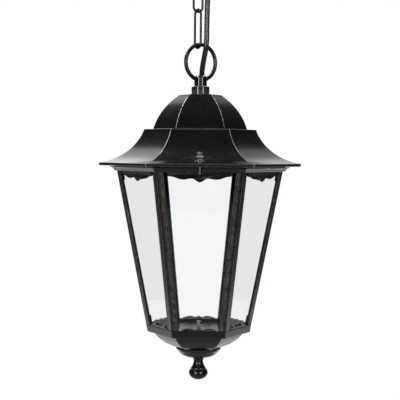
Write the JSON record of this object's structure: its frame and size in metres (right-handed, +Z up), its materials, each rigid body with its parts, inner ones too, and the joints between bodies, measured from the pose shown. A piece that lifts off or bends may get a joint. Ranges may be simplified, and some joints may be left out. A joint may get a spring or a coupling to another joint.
{
  "type": "hanging lantern",
  "caption": "Hexagonal die-cast hanging lantern: flared roof and dome, tapered glazed cage held by thumb screws, ring, chain links, supply cable and ceiling fitting.",
  "frame": {"origin": "on the ceiling plane, straight above the lantern's upright axis", "axes": "+Z up; -Y is the side that faces the viewer, a flat side of the hexagon"},
  "size_m": [0.22, 0.1906, 0.4906],
  "materials": {
    "casting_black": "satin",
    "gloss_black_steel": "gloss",
    "chain_steel": "satin",
    "canopy_black": "satin",
    "zinc_steel": "satin",
    "clear_glass": "gloss",
    "black_rubber": "matte",
    "cable_sheath": "satin",
    "gland_plastic": "satin",
    "porcelain": "gloss",
    "brass": "satin",
    "terminal_plastic": "satin",
    "live_brown": "satin",
    "neutral_blue": "satin",
    "earth_green": "satin"
  },
  "bodies": {
    "ceiling": {"ceiling_bracket": "zinc_steel", "canopy": "canopy_black", "ceiling_hook": "chain_steel", "hook_nuts": "gloss_black_steel", "cable_bush": "black_rubber", "ceiling_terminals": "terminal_plastic", "power_cable_4": "cable_sheath"},
    "link_upper": {"link_upper": "chain_steel"},
    "link_lower": {"link_lower": "chain_steel", "power_cable_3": "cable_sheath"},
    "ring": {"hanging_ring": "chain_steel", "power_cable_2": "cable_sheath"},
    "roof": {"suspension_post": "gloss_black_steel", "post_nut": "zinc_steel", "roof_dome": "casting_black", "roof_skirt": "casting_black", "dome_screws": "zinc_steel", "bracket_screws": "zinc_steel", "cable_gland": "gland_plastic", "gland_nut": "gland_plastic", "thumb_washers": "gloss_black_steel", "lamp_bracket": "zinc_steel", "lampholder_body": "porcelain", "lampholder_shell": "brass", "lampholder_contact": "brass", "holder_nipple": "zinc_steel", "terminal_block": "terminal_plastic", "earth_screw": "brass", "wire_live": "live_brown", "wire_neutral": "neutral_blue", "wire_earth": "earth_green", "power_cable_1": "cable_sheath"},
    "screw_front": {"thumb_screw_front": "gloss_black_steel"},
    "screw_rear": {"thumb_screw_rear": "gloss_black_steel"},
    "cage": {"crown_ring": "casting_black", "roof_gasket": "black_rubber", "corner_post_1": "casting_black", "corner_post_2": "casting_black", "corner_post_3": "casting_black", "corner_post_4": "casting_black", "corner_post_5": "casting_black", "corner_post_6": "casting_black", "glass_pane_1": "clear_glass", "glass_pane_2": "clear_glass", "glass_pane_3": "clear_glass", "glass_pane_4": "clear_glass", "glass_pane_5": "clear_glass", "glass_pane_6": "clear_glass", "post_screws": "zinc_steel", "glass_clips": "gloss_black_steel", "clip_screws": "gloss_black_steel", "top_valances": "casting_black", "bottom_trims": "casting_black", "bottom_frame": "casting_black", "bottom_bowl": "casting_black", "bowl_screws": "zinc_steel", "finial_cup": "casting_black", "finial": "casting_black", "finial_nut": "zinc_steel"}
  },
  "joints": [
    {"name": "upper_link_swing", "type": "hinge", "parent": "ceiling", "child": "link_upper", "pos_m": [-0.00332, -0.00224, -0.05225], "axis": [0.5592, -0.829, 0], "range_deg": [-25, 25], "deforming": ["power_cable_4"]},
    {"name": "lower_link_swing", "type": "hinge", "parent": "link_upper", "child": "link_lower", "pos_m": [-0.00332, -0.00224, -0.0904], "axis": [0.829, 0.5592, 0], "range_deg": [-25, 25], "deforming": ["power_cable_3"]},
    {"name": "ring_swing", "type": "hinge", "parent": "link_lower", "child": "ring", "pos_m": [-0.00332, -0.00224, -0.1293], "axis": [0.5592, -0.829, 0], "range_deg": [-20, 20], "deforming": ["power_cable_2"]},
    {"name": "lantern_swing", "type": "hinge", "parent": "ring", "child": "roof", "pos_m": [0, 0, -0.1638], "axis": [0.829, 0.5592, 0], "range_deg": [-25, 25], "deforming": ["power_cable_1"]},
    {"name": "front_screw_turn", "type": "hinge", "parent": "roof", "child": "screw_front", "pos_m": [0, -0.089, -0.25], "axis": [0, 0, 1], "continuous": true},
    {"name": "rear_screw_turn", "type": "hinge", "parent": "roof", "child": "screw_rear", "pos_m": [0, 0.089, -0.25], "axis": [0, 0, 1], "continuous": true},
    {"name": "cage_release", "type": "slide", "parent": "roof", "child": "cage", "axis": [0, 0, -1], "range_m": [0, 0.09]}
  ]
}
